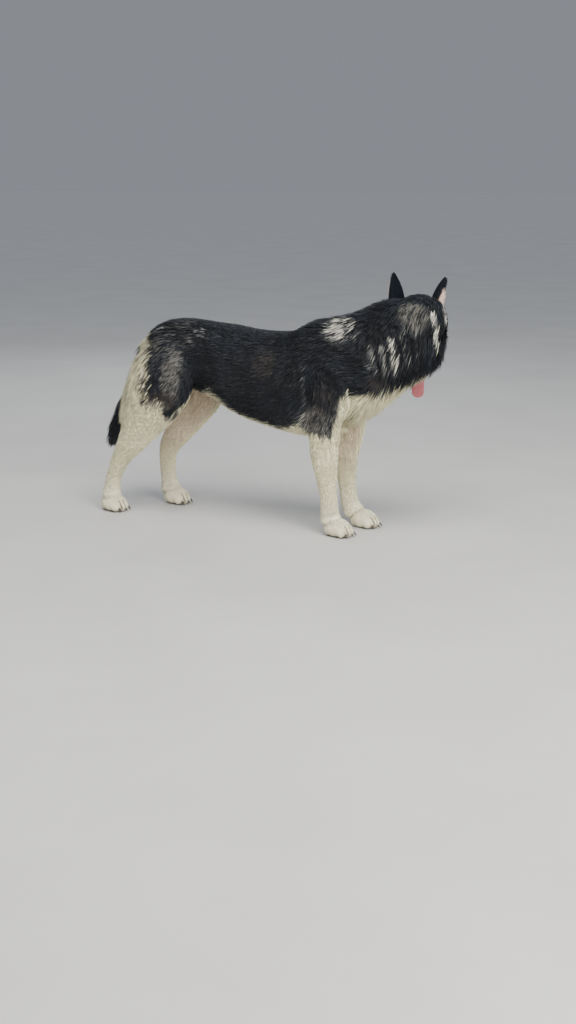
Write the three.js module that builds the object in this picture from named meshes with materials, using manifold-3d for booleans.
// A life-size standing Siberian husky that looks back over its left side with its mouth a little open.
// Millimetres and degrees. +X is the way the body faces, +Y the dog's left, +Z up, and the floor is Z = 0.
// Every form is a loft: rings of a rounded section carried along a smooth line of stations. The forms of
// flesh are joined, then parted at the neck, shoulders, hips and joints of the legs with thin cuts. Long
// coat stands on them as flat tapered locks, rooted in the form that carries them.
import * as THREE from "three";
import { mergeVertices } from "three/addons/utils/BufferGeometryUtils.js";
import Module from "manifold-3d";

const wasm = await Module();
wasm.setup();

// Driving dimensions
const GAP = 0.3; // clearance kept between neighbouring pieces
const FINE = 0.13; // smallest step that a surface keeps
const SEAM = 5; // how far a leg's seam lies outside the leg itself
const HEAD_CENTRE = [425, 120, 524]; // middle of the skull
const HEAD_TURN = 112; // how far the muzzle turns from straight ahead to the left
const HEAD_PITCH = 36; // how far it dips
const HEAD_SCALE = 0.96;
const JAW_OPEN = 14;
const JAW_HINGE = [8, 0, -32]; // in the head's frame
const EYE_RADIUS = 10.5;
const EYE_PLACE = [53, 31, 14]; // in the head's frame, on the left
const EYE_SLANT = 14; // rise of the outer corner of the eye
const EYE_GAZE = [0.8, 0.52, 0.2]; // the way the left eye looks
const LID_THICKNESS = 2;
const EAR_BACK = -6; // where the ears stand along the head's frame
const EAR_TILT = -12; // forwards
const EARS = {
  // side, distance from the middle of the head, height, lean outwards, and how far the cup faces outwards
  left: { side: 1, spread: 60, rise: 38, lean: 4, turn: 50 },
  right: { side: -1, spread: 41, rise: 27, lean: 14, turn: 108 },
};
const FORE_REACH = 28; // how far the left fore paw stands ahead of the right one
const NECK_COAT = 12; // depth of the locks over the neck's core
const TAIL_CORE = 0.55; // size of the tail's core, as a share of the tail
const ROOT_MARGIN = 4; // how far inside its own piece a lock of the ruff is rooted
const THROAT_MARGIN = 50; // and under the throat, where longer ones would hang off the chest
const THROAT_SIDE = -0.4; // sine of the angle round the neck below which the throat begins
const KEPT_SHARE = 0.65; // a lock that the trunk would cut to less than this is left out
const COAT_SEED = 7;

const FINISH = {
  black: { color: 0x23262c, roughness: 0.6 },
  cream: { color: 0xcfc8b4, roughness: 0.75 },
  nose: { color: 0x15151a, roughness: 0.35 },
  tongue: { color: 0xb5566a, roughness: 0.35 },
  eye: { color: 0x3d2a1c, roughness: 0.1 },
  claw: { color: 0x3a352f, roughness: 0.4 },
};

const { clamp, degToRad, seededRandom, smoothstep } = THREE.MathUtils;
const vec = (x, y, z) => new THREE.Vector3(x, y, z);
const X_AXIS = vec(1, 0, 0);
const Y_AXIS = vec(0, 1, 0);
const Z_AXIS = vec(0, 0, 1);

// A loft's stations are [x, y, z, half-width, height above the line, depth below it], across `up`.
// Where the line runs along +X these are the dog's left and right, its top and its underside.
class Loft {
  constructor(stations, { up = Z_AXIS, power = 2.2, grow = 0, share = 1 } = {}) {
    const curve = (points) => new THREE.CatmullRomCurve3(points, false, "catmullrom", 0.5);
    const sized = (size) => size * share + grow;
    this.line = curve(stations.map((s) => vec(s[0], s[1], s[2])));
    this.sizes = curve(stations.map((s) => vec(sized(s[3]), sized(s[4]), sized(s[5]))));
    this.length = this.line.getLength();
    this.up = up;
    this.power = power; // 2 is an ellipse, and more is squarer
  }

  frame(t) {
    const along = this.line.getTangent(t);
    const side = this.up.clone().cross(along).normalize();
    return { centre: this.line.getPoint(t), along, side, top: along.clone().cross(side) };
  }

  // A point of the skin, at a share t of the line and an angle from its side towards its top.
  point(t, angle, scale = 1) {
    const { centre, side, top } = this.frame(t);
    const size = this.sizes.getPoint(t);
    const squared = (value) => Math.sign(value) * Math.abs(value) ** (2 / this.power);
    const across = squared(Math.cos(angle));
    const upwards = squared(Math.sin(angle));
    return centre
      .addScaledVector(side, size.x * scale * across)
      .addScaledVector(top, (upwards > 0 ? size.y : size.z) * scale * upwards);
  }

  // A point over the skin, or sunk in it. Past an end of the line the skin goes straight on.
  above(t, angle, height) {
    const inside = clamp(t, 0, 1);
    const { centre, along } = this.frame(inside);
    const skin = this.point(inside, angle);
    const out = skin.clone().sub(centre).normalize();
    return skin.addScaledVector(out, height).addScaledVector(along, (t - inside) * this.length);
  }

  // The closed surface: `rings` lengths of `sides` faces, with rounded ends `round` mean radii deep.
  geometry({ sides = 20, rings = 16, round = [0.5, 0.5], steps = 2 } = {}) {
    const positions = [];
    const radius = (t) => this.sizes.getPoint(t).length() / Math.sqrt(3);
    const push = (point) => positions.push(...point.toArray());
    const addRing = (t, scale, shift) => {
      const along = this.frame(t).along.multiplyScalar(shift);
      for (let j = 0; j < sides; j++) push(this.point(t, ((j + 0.5) * 2 * Math.PI) / sides, scale).add(along));
    };
    const addEnd = (t, depth, step) => {
      const sine = Math.sin(((step / (steps + 1)) * Math.PI) / 2);
      addRing(t, Math.sqrt(1 - sine * sine), depth * radius(t) * sine);
    };
    for (let k = steps; k > 0; k--) addEnd(0, -round[0], k);
    for (let i = 0; i <= rings; i++) addRing(i / rings, 1, 0);
    for (let k = 1; k <= steps; k++) addEnd(1, round[1], k);
    for (const [t, depth] of [[0, -round[0]], [1, round[1]]]) {
      const { centre, along } = this.frame(t);
      push(centre.addScaledVector(along, depth * radius(t)));
    }
    const last = rings + 2 * steps;
    const startPole = (last + 1) * sides;
    const index = [];
    for (let j = 0; j < sides; j++) {
      const k = (j + 1) % sides;
      for (let i = 0; i < last; i++) {
        const near = i * sides;
        const far = near + sides;
        index.push(near + j, near + k, far + k, near + j, far + k, far + j);
      }
      index.push(startPole, k, j, startPole + 1, last * sides + j, last * sides + k);
    }
    return new THREE.BufferGeometry()
      .setAttribute("position", new THREE.Float32BufferAttribute(positions, 3))
      .setIndex(index);
  }
}

// Solids
const solidOf = (geometry) => {
  const numbers = {
    numProp: 3,
    vertProperties: new Float32Array(geometry.getAttribute("position").array),
    triVerts: new Uint32Array(geometry.index.array),
  };
  return new wasm.Manifold(new wasm.Mesh(numbers));
};
const loftSolid = (stations, options, mesh) => solidOf(new Loft(stations, options).geometry(mesh));
const placed = (solid, matrix) => solid.transform(matrix.elements);
const union = (solids) => wasm.Manifold.union(solids);
const cut = (solid, others) => (others.length ? solid.subtract(union(others)) : solid);
const largest = (solid) => solid.decompose().reduce((a, b) => (b.volume() > a.volume() ? b : a));

// The part of a solid on the side of a plane that its normal points to, half a gap clear of the plane.
const beyond = (solid, { point, normal }, clearance = GAP / 2) => {
  const n = normal.clone().normalize();
  return solid.trimByPlane(n.toArray(), n.dot(point) + clearance);
};
const before = (solid, { point, normal }, clearance = GAP / 2) =>
  beyond(solid, { point, normal: normal.clone().negate() }, clearance);
const level = (z) => ({ point: vec(0, 0, z), normal: Z_AXIS });

const ball = (centre, radius, detail = 2) => {
  const geometry = new THREE.IcosahedronGeometry(radius, detail).translate(...centre.toArray());
  geometry.deleteAttribute("normal");
  geometry.deleteAttribute("uv");
  return solidOf(mergeVertices(geometry));
};

// Locks of long coat: flat blades of four-sided rings that leave the skin, bend along it and end in a point.
const LOCK_RINGS = [
  // share of the length, height as a share of the lift, width and thickness as shares
  [0, -0.6, 0.85, 1],
  [0.35, 0.6, 1, 1],
  [0.7, 0.95, 0.72, 0.75],
  [1, 0.55, 0, 0],
];

const lockSolid = (loft, { t, angle, length, width, thick, lift, sway, toward }, grow = 0) => {
  const over = (share, height) =>
    loft.above(t + (toward * share * length) / loft.length, angle + sway * share, height);
  const path = LOCK_RINGS.map(([share, height]) => over(share, height * lift));
  const positions = [];
  const push = (point) => positions.push(...point.toArray());
  LOCK_RINGS.slice(0, -1).forEach(([share, , wide, deep], k) => {
    const along = path[k + 1].clone().sub(path[Math.max(k - 1, 0)]).normalize();
    const out = over(share, 1).sub(over(share, 0));
    const across = out.cross(along).normalize();
    const face = along.clone().cross(across);
    const half = (wide * width) / 2 + grow;
    const depth = (deep * thick) / 2 + grow;
    for (const [direction, size] of [[across, half], [face, depth], [across, -half], [face, -depth]])
      push(path[k].clone().addScaledVector(direction, size));
  });
  const tip = path[path.length - 1];
  push(tip.clone().addScaledVector(tip.clone().sub(path[path.length - 2]).normalize(), 3 * grow));
  const sides = 4;
  const last = (LOCK_RINGS.length - 2) * sides;
  const index = [0, 2, 1, 0, 3, 2];
  for (let j = 0; j < sides; j++) {
    const k = (j + 1) % sides;
    for (let near = 0; near < last; near += sides)
      index.push(near + j, near + k, near + sides + k, near + j, near + sides + k, near + sides + j);
    index.push(last + j, last + k, last + sides);
  }
  return solidOf(
    new THREE.BufferGeometry()
      .setAttribute("position", new THREE.Float32BufferAttribute(positions, 3))
      .setIndex(index),
  );
};

seededRandom(COAT_SEED);
const vary = (share) => share * (2 * seededRandom() - 1);

// Staggered rows of locks between two shares of a loft's line and two angles round it, in degrees.
const lockRows = ({ span: [first, last], rows, arc: [low, high], perRow, ...lock }) =>
  Array.from({ length: rows * perRow }, (_, i) => {
    const row = Math.floor(i / perRow);
    const place = (i % perRow) + 0.5 * (row % 2) + 0.25 + vary(0.15);
    return {
      ...lock,
      t: first + ((last - first) * (row + vary(0.2))) / Math.max(rows - 1, 1),
      angle: degToRad(low + ((high - low) * place) / perRow),
      length: lock.length * (1 + vary(0.18)),
      width: lock.width * (1 + vary(0.12)),
      lift: lock.lift * (1 + vary(0.15)),
      sway: lock.sway + vary(0.12),
    };
  });

// Trunk
const TORSO = [
  // x, top line, belly line, half-width
  [-280, 470, 392, 40],
  [-258, 493, 358, 62],
  [-222, 507, 338, 82],
  [-165, 515, 332, 92],
  [-105, 514, 328, 94],
  [-45, 511, 308, 97],
  [15, 503, 280, 106],
  [75, 500, 256, 114],
  [135, 503, 240, 118],
  [190, 515, 232, 118],
  [238, 532, 236, 112],
  [285, 530, 244, 102],
  [322, 492, 254, 86],
  [346, 440, 270, 62],
].map(([x, top, belly, half]) => {
  const widest = belly + 0.52 * (top - belly);
  return [x, 0, widest, half, top - widest, widest - belly];
});
const TORSO_MESH = { sides: 16, rings: 14, round: [0.5, 0.45] };

const NECK = [
  [200, 0, 405, 92, 112, 132],
  [262, 2, 426, 97, 117, 148],
  [322, 17, 446, 96, 113, 144],
  [362, 38, 460, 92, 117, 122],
  [395, 62, 474, 88, 119, 106],
  [417, 88, 485, 82, 113, 102],
  [427, 112, 490, 77, 100, 98],
  [425, 131, 491, 64, 76, 88],
];
const NECK_MESH = { sides: 16, rings: 9, round: [0.2, 0.3], steps: 1 };
const NECK_CORE = new Loft(NECK, { grow: -NECK_COAT });
const RUFF = lockRows({
  span: [0.08, 0.76], rows: 7, arc: [-180, 180], perRow: 9,
  length: 96, width: 54, thick: 10, lift: 9.5, sway: 0.05, toward: -1,
});
const NECK_SEAM = { point: vec(300, 10, 440), normal: vec(0.75, 0.05, 0.66) };
const HEAD_SEAM = { point: vec(418, 80, 500), normal: vec(0.4, 0.9, -0.1) };

// Legs: their lines run down, so the last three sizes are half-width, half-depth in front and behind.
const foreleg = (side, reach) => {
  const lean = (z) => {
    const forearm = smoothstep(z, 150, 260) * (1 - smoothstep(z, 300, 440));
    const pastern = 1 - smoothstep(z, 30, 80);
    return reach * (0.35 * forearm + 0.5 * pastern);
  };
  return [
    [216, 48, 470, 22, 38, 42],
    [238, 68, 438, 36, 56, 56],
    [262, 78, 392, 42, 68, 62],
    [264, 77, 340, 42, 62, 58],
    [256, 71, 292, 38, 48, 48],
    [254, 67, 242, 32, 41, 39],
    [252, 64, 190, 28, 37, 34],
    [257, 61, 140, 24, 30, 28],
    [262, 59, 98, 22, 24.5, 25],
    [266, 58, 64, 22.5, 24, 28],
    [270, 57, 40, 26, 25, 30],
  ].map(([x, y, z, ...sizes]) => [x + lean(z), side * y, z, ...sizes]);
};

const HIND_RIGHT = [
  [-168, -62, 455, 26, 52, 58],
  [-190, -80, 406, 38, 88, 80],
  [-205, -87, 354, 42, 98, 87],
  [-227, -86, 300, 40, 80, 83],
  [-257, -82, 250, 34, 58, 66],
  [-293, -78, 200, 28, 42, 46],
  [-328, -75, 156, 23, 30, 32],
  [-350, -73, 118, 20, 25, 26],
  [-366, -72.5, 76, 20, 24, 25],
  [-370, -72.5, 42, 25, 27, 27],
];

const HIND_LEFT = [
  [-168, 62, 455, 26, 52, 58],
  [-182, 80, 408, 38, 88, 76],
  [-184, 87, 354, 42, 96, 75],
  [-190, 86, 300, 40, 76, 63],
  [-212, 82, 250, 34, 54, 52],
  [-246, 78, 200, 28, 40, 42],
  [-274, 75, 156, 23, 30, 33],
  [-280, 73, 118, 20, 25, 27],
  [-278, 72.5, 76, 20, 24, 25],
  [-272, 72.5, 40, 25, 28, 28],
];

const BREECHES = lockRows({
  span: [0.1, 0.38], rows: 3, arc: [-142, -38], perRow: 3,
  length: 88, width: 40, thick: 9, lift: 13, sway: 0, toward: 1,
});

const LIMB = { up: X_AXIS, power: 2.15 };
const LIMB_MESH = { sides: 12, rings: 12, round: [0.5, 0.4], steps: 1 };
const REGION_MESH = { sides: 10, rings: 8, round: [0.5, 0.5], steps: 1 };

const PAW = [
  // from the middle of the sole
  [-32, 0, 14, 18, 16, 16],
  [-18, 0, 20, 27, 24, 23],
  [0, 0, 20, 30, 24, 22],
  [16, 0, 16, 28, 18, 17],
];
const TOES = [
  // sideways place, reach of the tip, radius
  [-22, 17, 10.5],
  [-8, 27, 11.5],
  [8, 27, 11.5],
  [22, 17, 10.5],
];

// Heights of the joints where each leg is parted: elbow or knee, wrist or hock, and paw
const FORE_JOINTS = [268, 104, 50];
const HIND_JOINTS = [262, 140, 50];

const LEGS = {
  foreleg_left: { side: 1, stations: foreleg(1, FORE_REACH), paw: [315, 57], joints: FORE_JOINTS },
  foreleg_right: { side: -1, stations: foreleg(-1, 0), paw: [292, -57], joints: FORE_JOINTS },
  hindleg_left: { side: 1, stations: HIND_LEFT, paw: [-250, 72.5], joints: HIND_JOINTS },
  hindleg_right: { side: -1, stations: HIND_RIGHT, paw: [-359, -72.5], joints: HIND_JOINTS },
};

const limb = (leg, grow = 0) => loftSolid(leg.stations, { ...LIMB, grow }, LIMB_MESH);
const legRegion = (leg, grow = 0) => loftSolid(leg.stations, { ...LIMB, grow: SEAM + grow }, REGION_MESH);

const pawPieces = ({ paw: [x, y], side }, grow = 0) => {
  const pad = loftSolid(
    PAW.map(([dx, dy, z, ...sizes]) => [x + dx, y + dy, z, ...sizes]),
    { grow },
    { sides: 8, rings: 3, steps: 1 },
  );
  const toes = TOES.map(([spread, reach, r]) =>
    loftSolid(
      [
        [x + 2, y + 0.8 * side * spread, 18, r, r, r],
        [x + 0.62 * reach, y + side * spread, 17, r + 1.5, r + 2, r + 4],
        [x + reach, y + side * spread, 10, r, r - 1, r + 1],
      ],
      { grow },
      { sides: 6, rings: 2, round: [0.6, 0.8], steps: 1 },
    ),
  );
  return [pad, ...toes];
};

const clawSolid = ({ paw: [x, y], side }, [spread, reach]) =>
  loftSolid(
    [
      [x + reach + 2, y + side * spread, 14, 2.6, 3.4, 3.4],
      [x + reach + 9, y + side * spread, 12, 2.2, 2.8, 2.8],
      [x + reach + 13, y + side * spread, 7.5, 1.4, 1.6, 1.6],
      [x + reach + 15, y + side * spread, 4.2, 0.7, 0.8, 0.8],
    ],
    {},
    { sides: 5, rings: 2, round: [0.3, 0.8], steps: 0 },
  );

const TAIL = [
  [-226, 0, 474, 24, 22, 22],
  [-258, 0, 458, 32, 28, 28],
  [-282, 0, 418, 36, 34, 34],
  [-302, 0, 362, 40, 38, 38],
  [-328, 0, 306, 42, 40, 40],
  [-358, 0, 254, 38, 36, 37],
  [-389, 0, 208, 24, 24, 24],
  [-404, 0, 182, 10, 10, 11],
];

const TAIL_LOFT = new Loft(TAIL, { up: X_AXIS, share: TAIL_CORE });
const TAIL_LOCKS = lockRows({
  span: [0.08, 0.66], rows: 4, arc: [-180, 180], perRow: 4,
  length: 124, width: 44, thick: 11, lift: 14, sway: 0.1, toward: 1,
});

// The head in its own frame: X to the nose, Y to the dog's left, Z to the crown.
const SKULL = [
  [-84, 0, -15, 32, 24, 36],
  [-70, 0, -12, 54, 45, 57],
  [-50, 0, -8, 68, 58, 70],
  [-20, 0, -6, 73, 61, 72],
  [8, 0, -4, 70, 58, 65],
  [30, 0, -5, 62, 53, 50],
  [46, 0, -6, 53, 43, 41],
  [58, 0, -7, 45, 34, 35],
  [70, 0, -9, 38, 28, 30],
  [88, 0, -12, 33, 25, 26],
  [108, 0, -15, 30, 23.5, 23],
  [128, 0, -17, 26.5, 22, 20],
  [138, 0, -17, 22, 18.5, 18],
];
const SKULL_MESH = { sides: 16, rings: 16, round: [0.3, 0.6], steps: 1 };
const SKULL_LOFT = new Loft(SKULL);
const CHEEKS = [[-74, -6], [186, 254]].flatMap((arc) =>
  lockRows({
    span: [0.33, 0.44], rows: 2, arc, perRow: 2,
    length: 54, width: 34, thick: 7, lift: 11, sway: 0, toward: -1,
  }),
);
const CANINE = [
  // down from the left upper gum
  [116, 16, -26, 4, 4, 4],
  [117, 16, -36, 3, 3, 3],
  [114, 16, -44, 1.2, 1.2, 1.2],
];
const LOWER_CANINE = [
  // up from the left lower gum
  [108, 14.5, -50, 4, 4, 4],
  [110, 14.5, -42, 3, 3, 3],
  [108, 14.5, -34, 1.2, 1.2, 1.2],
];

const JAW = [
  [14, 0, -50, 46, 14, 20],
  [45, 0, -53, 38, 15, 18],
  [72, 0, -53, 29, 12, 14],
  [100, 0, -52, 24, 10, 12],
  [120, 0, -50, 18, 8, 10],
];
const MOUTH = [
  [52, 0, -50, 22, 22, 16],
  [85, 0, -50, 20, 22, 12],
  [118, 0, -48, 16, 20, 10],
];
const NOSTRIL = [
  // the left one, from inside the nose outwards
  [140, 4.5, -5, 2, 2, 2],
  [148, 6.5, -5, 3, 2.6, 3],
  [156, 9.5, -5, 3.4, 3, 3.4],
];
const NOSE = [
  [133, 0, -4, 13, 10, 12],
  [142, 0, -5, 15, 11.5, 13],
  [150, 0, -6, 12, 8.5, 11],
];
const TONGUE = [
  // with the jaw shut: x, y, z, half the thickness, half the width twice
  [60, 0, -42, 3, 12, 12],
  [85, 0, -40, 3, 13, 13],
  [108, 0, -38, 3, 9.5, 9.5],
  [126, 0, -43, 2.6, 15, 15],
  [137, 0, -60, 2.5, 16.5, 16.5],
  [143, 0, -90, 2.5, 16.5, 16.5],
  [146, 0, -126, 2.3, 13.5, 13.5],
];

const EAR = [
  // up the ear's own line: the cup opens to -Z here
  [-16, 0, 0, 31, 15, 15],
  [10, 0, 1, 31, 15, 13],
  [37, 0, 2, 28, 12, 10],
  [64, 0, 1, 20.5, 8, 7],
  [85, 0, -1, 10, 4.5, 4.5],
  [94, 0, -2, 4, 3, 3],
];
const EAR_CUP = [
  [6, 0, -16, 26, 20, 20],
  [32, 0, -12, 23.5, 16.5, 16],
  [59, 0, -8, 15.5, 11, 12],
  [80, 0, -6, 6.5, 6, 8],
];

const turned = (matrix, axis, degrees) =>
  matrix.clone().multiply(new THREE.Matrix4().makeRotationAxis(axis, degToRad(degrees)));
const shifted = (matrix, x, y, z) => matrix.clone().multiply(new THREE.Matrix4().makeTranslation(x, y, z));

const headMatrix = (() => {
  const centre = shifted(new THREE.Matrix4(), ...HEAD_CENTRE);
  const aimed = turned(turned(centre, Z_AXIS, HEAD_TURN), Y_AXIS, HEAD_PITCH);
  return aimed.multiply(new THREE.Matrix4().makeScale(HEAD_SCALE, HEAD_SCALE, HEAD_SCALE));
})();
const jawMatrix = (() => {
  const [x, y, z] = JAW_HINGE;
  return shifted(turned(shifted(headMatrix, x, y, z), Y_AXIS, JAW_OPEN), -x, -y, -z);
})();

const SIDES = { left: 1, right: -1 };
const mirrored = (stations, side) => stations.map(([x, y, z, ...sizes]) => [x, side * y, z, ...sizes]);
const bothSides = (stations, options, mesh, matrix) =>
  Object.values(SIDES).map((side) => placed(loftSolid(mirrored(stations, side), options, mesh), matrix));

const skullSolid = (grow = 0) => placed(loftSolid(SKULL, { grow }, SKULL_MESH), headMatrix);
const jawSolid = (grow = 0) =>
  placed(loftSolid(JAW, { power: 2.3, grow }, { sides: 10, rings: 7, round: [0.3, 0.8], steps: 1 }), jawMatrix);
const tongueSolid = (grow = 0) =>
  placed(loftSolid(TONGUE, { up: Y_AXIS, power: 2.4, grow }, { sides: 8, rings: 10, steps: 1 }), jawMatrix);
const mouthSolid = () => placed(loftSolid(MOUTH, {}, { sides: 12, rings: 5 }), headMatrix);
const noseSolid = () =>
  cut(placed(loftSolid(NOSE, {}, { sides: 10, rings: 3, steps: 1 }), headMatrix), [
    skullSolid(GAP),
    ...bothSides(NOSTRIL, {}, { sides: 6, rings: 2, steps: 1 }, headMatrix),
  ]);
const TOOTH_MESH = { sides: 6, rings: 2, steps: 1 };

const earSolid = ({ side, spread, rise, lean, turn }, grow = 0) => {
  const outline = loftSolid(EAR, { grow }, { sides: 10, rings: 6, round: [0.1, 0.8], steps: 1 });
  let place = turned(shifted(headMatrix, EAR_BACK, side * spread, rise), X_AXIS, -side * lean);
  place = turned(turned(turned(place, Y_AXIS, EAR_TILT), Z_AXIS, side * turn), Y_AXIS, -90);
  if (grow) return placed(outline, place);
  return placed(outline.subtract(loftSolid(EAR_CUP, {}, { sides: 10, rings: 5, round: [0.4, 0.6] })), place);
};

const eyeCentre = (side) => vec(EYE_PLACE[0], side * EYE_PLACE[1], EYE_PLACE[2]).applyMatrix4(headMatrix);

// The almond between the lids, along the gaze, as a cutter.
const eyeOpening = (side) => {
  const gaze = vec(EYE_GAZE[0], side * EYE_GAZE[1], EYE_GAZE[2]).normalize();
  const slant = vec(0, -side * Math.sin(degToRad(EYE_SLANT)), Math.cos(degToRad(EYE_SLANT)));
  const centre = vec(EYE_PLACE[0], side * EYE_PLACE[1], EYE_PLACE[2]);
  const station = (depth, wide, high) => {
    const place = centre.clone().addScaledVector(gaze, depth);
    return [...place.toArray(), wide, high, high];
  };
  const opening = loftSolid(
    [station(2, 9, 5.4), station(10, 9.4, 5.8), station(24, 14, 10)],
    { up: slant, power: 1.6 },
    { sides: 10, rings: 2, round: [0.1, 0.1], steps: 0 },
  );
  return placed(opening, headMatrix);
};

// Assembly
const root = new THREE.Group();

function addNode(name, solid, finish) {
  const mesh = largest(solid.simplify(FINE)).getMesh();
  const positions = new Float32Array(mesh.numVert * 3);
  for (let i = 0; i < mesh.numVert; i++)
    positions.set(mesh.vertProperties.subarray(i * mesh.numProp, i * mesh.numProp + 3), i * 3);
  const geometry = new THREE.BufferGeometry()
    .setAttribute("position", new THREE.BufferAttribute(positions, 3))
    .setIndex(new THREE.BufferAttribute(new Uint32Array(mesh.triVerts), 1));
  const node = new THREE.Mesh(geometry, new THREE.MeshStandardMaterial(FINISH[finish]));
  node.name = name;
  root.add(node);
}

const fleshSolid = (grow = 0) =>
  union([
    loftSolid(TORSO, { power: 2.3, grow }, TORSO_MESH),
    loftSolid(NECK, { grow: grow - NECK_COAT }, NECK_MESH),
    skullSolid(grow),
    ...Object.values(LEGS).map((leg) => limb(leg, grow)),
  ]);

const flesh = fleshSolid();
const grownFlesh = fleshSolid(GAP);
const legs = Object.entries(LEGS);
const regions = union(legs.map(([, leg]) => legRegion(leg, GAP)));
const trunk = flesh.subtract(regions);
const neckUp = beyond(trunk, NECK_SEAM);
const mouthParts = [jawSolid(GAP), tongueSolid(GAP)];
const ears = Object.values(EARS).map((ear) => earSolid(ear, GAP));

// Coat on the neck and the cheeks
const isBeyond = (point, plane, margin) =>
  point.clone().sub(plane.point).dot(plane.normal.clone().normalize()) > margin;
const behindNeck = before(grownFlesh, NECK_SEAM, -GAP / 2);
const ruffLocks = RUFF.filter((lock) => {
  const start = NECK_CORE.above(lock.t, lock.angle, 0);
  const margin = Math.sin(lock.angle) < THROAT_SIDE ? THROAT_MARGIN : ROOT_MARGIN;
  if (!isBeyond(start, NECK_SEAM, margin) || isBeyond(start, HEAD_SEAM, -ROOT_MARGIN)) return false;
  const solid = lockSolid(NECK_CORE, lock);
  return solid.subtract(behindNeck).volume() > KEPT_SHARE * solid.volume();
});
const ruff = (grow = 0) => union(ruffLocks.map((lock) => lockSolid(NECK_CORE, lock, grow)));
const cheeks = placed(union(CHEEKS.map((lock) => lockSolid(SKULL_LOFT, lock))), headMatrix);
const headFlesh = beyond(grownFlesh, HEAD_SEAM, -GAP / 2);
const legFlesh = grownFlesh.intersect(regions);

addNode("torso", before(trunk, NECK_SEAM), "black");
const clearRuff = cut(ruff(), [behindNeck, legFlesh, headFlesh]);
addNode("neck", cut(union([before(neckUp, HEAD_SEAM), clearRuff]), [...mouthParts, ...ears]), "black");

// Legs, with the coat of the breeches on the hind ones
const breeches = (leg, grow = 0) => {
  const loft = new Loft(leg.stations, LIMB);
  return union(BREECHES.map((lock) => lockSolid(loft, lock, grow)));
};
const hindLegs = [LEGS.hindleg_left, LEGS.hindleg_right];
for (const [name, leg] of legs) {
  const [upper, lower, ankle] = leg.joints.map(level);
  const below = union([before(limb(leg), upper), ...pawPieces(leg)]).trimByPlane([0, 0, 1], 0);
  const hind = hindLegs.includes(leg);
  const thigh = beyond(flesh.intersect(legRegion(leg)), upper);
  const coat = () => {
    const shank = before(limb(leg, GAP), upper, -GAP / 2);
    return cut(breeches(leg), [grownFlesh.subtract(legRegion(leg)), shank]);
  };
  addNode(`${name}_upper`, hind ? union([thigh, coat()]) : thigh, "black");
  addNode(`${name}_lower`, beyond(before(below, upper), lower), "cream");
  addNode(`${name}_${hind ? "hock" : "pastern"}`, beyond(before(below, lower), ankle), "cream");
  addNode(`${name}_paw`, before(below, ankle), "cream");
  TOES.forEach((toe, i) => {
    addNode(`${name}_claw_${i + 1}`, cut(clawSolid(leg, toe), pawPieces(leg, GAP)), "claw");
  });
}

const tailCore = solidOf(TAIL_LOFT.geometry({ sides: 10, rings: 9, round: [0.3, 0.8], steps: 1 }));
const tail = union([tailCore, ...TAIL_LOCKS.map((lock) => lockSolid(TAIL_LOFT, lock))]);
addNode("tail", cut(tail, [grownFlesh, ...hindLegs.map((leg) => breeches(leg, GAP))]), "black");

const eyes = (radius, detail) => Object.values(SIDES).map((side) => ball(eyeCentre(side), radius, detail));
const head = union([
  beyond(neckUp, HEAD_SEAM),
  ...eyes(EYE_RADIUS + LID_THICKNESS, 1),
  cut(cheeks, [before(grownFlesh, HEAD_SEAM, -GAP / 2), ruff(GAP)]),
]);
const mouth = mouthSolid();
const upperTeeth = bothSides(CANINE, {}, TOOTH_MESH, headMatrix);
const openings = Object.values(SIDES).map(eyeOpening);
const headCuts = [...mouthParts, ...eyes(EYE_RADIUS + GAP), ...openings, ...ears];
addNode("head", cut(union([cut(head, [mouth]), ...upperTeeth]), headCuts), "cream");
const lowerTeeth = (grow = 0) => bothSides(LOWER_CANINE, { grow }, TOOTH_MESH, jawMatrix);
addNode("jaw", union([jawSolid(), ...lowerTeeth()]), "cream");
addNode("tongue", cut(tongueSolid(), [jawSolid(GAP), ...lowerTeeth(GAP)]), "tongue");
addNode("nose", noseSolid(), "nose");
for (const [name, side] of Object.entries(SIDES)) {
  addNode(`eye_${name}`, ball(eyeCentre(side), EYE_RADIUS), "eye");
  addNode(`ear_${name}`, cut(earSolid(EARS[name]), [grownFlesh]), "black");
}

// The origin is on the floor under the middle of the box round the dog.
const box = new THREE.Box3().setFromObject(root);
const middle = box.getCenter(vec(0, 0, 0));
for (const node of root.children) node.position.set(-middle.x, -middle.y, 0);

export default root;
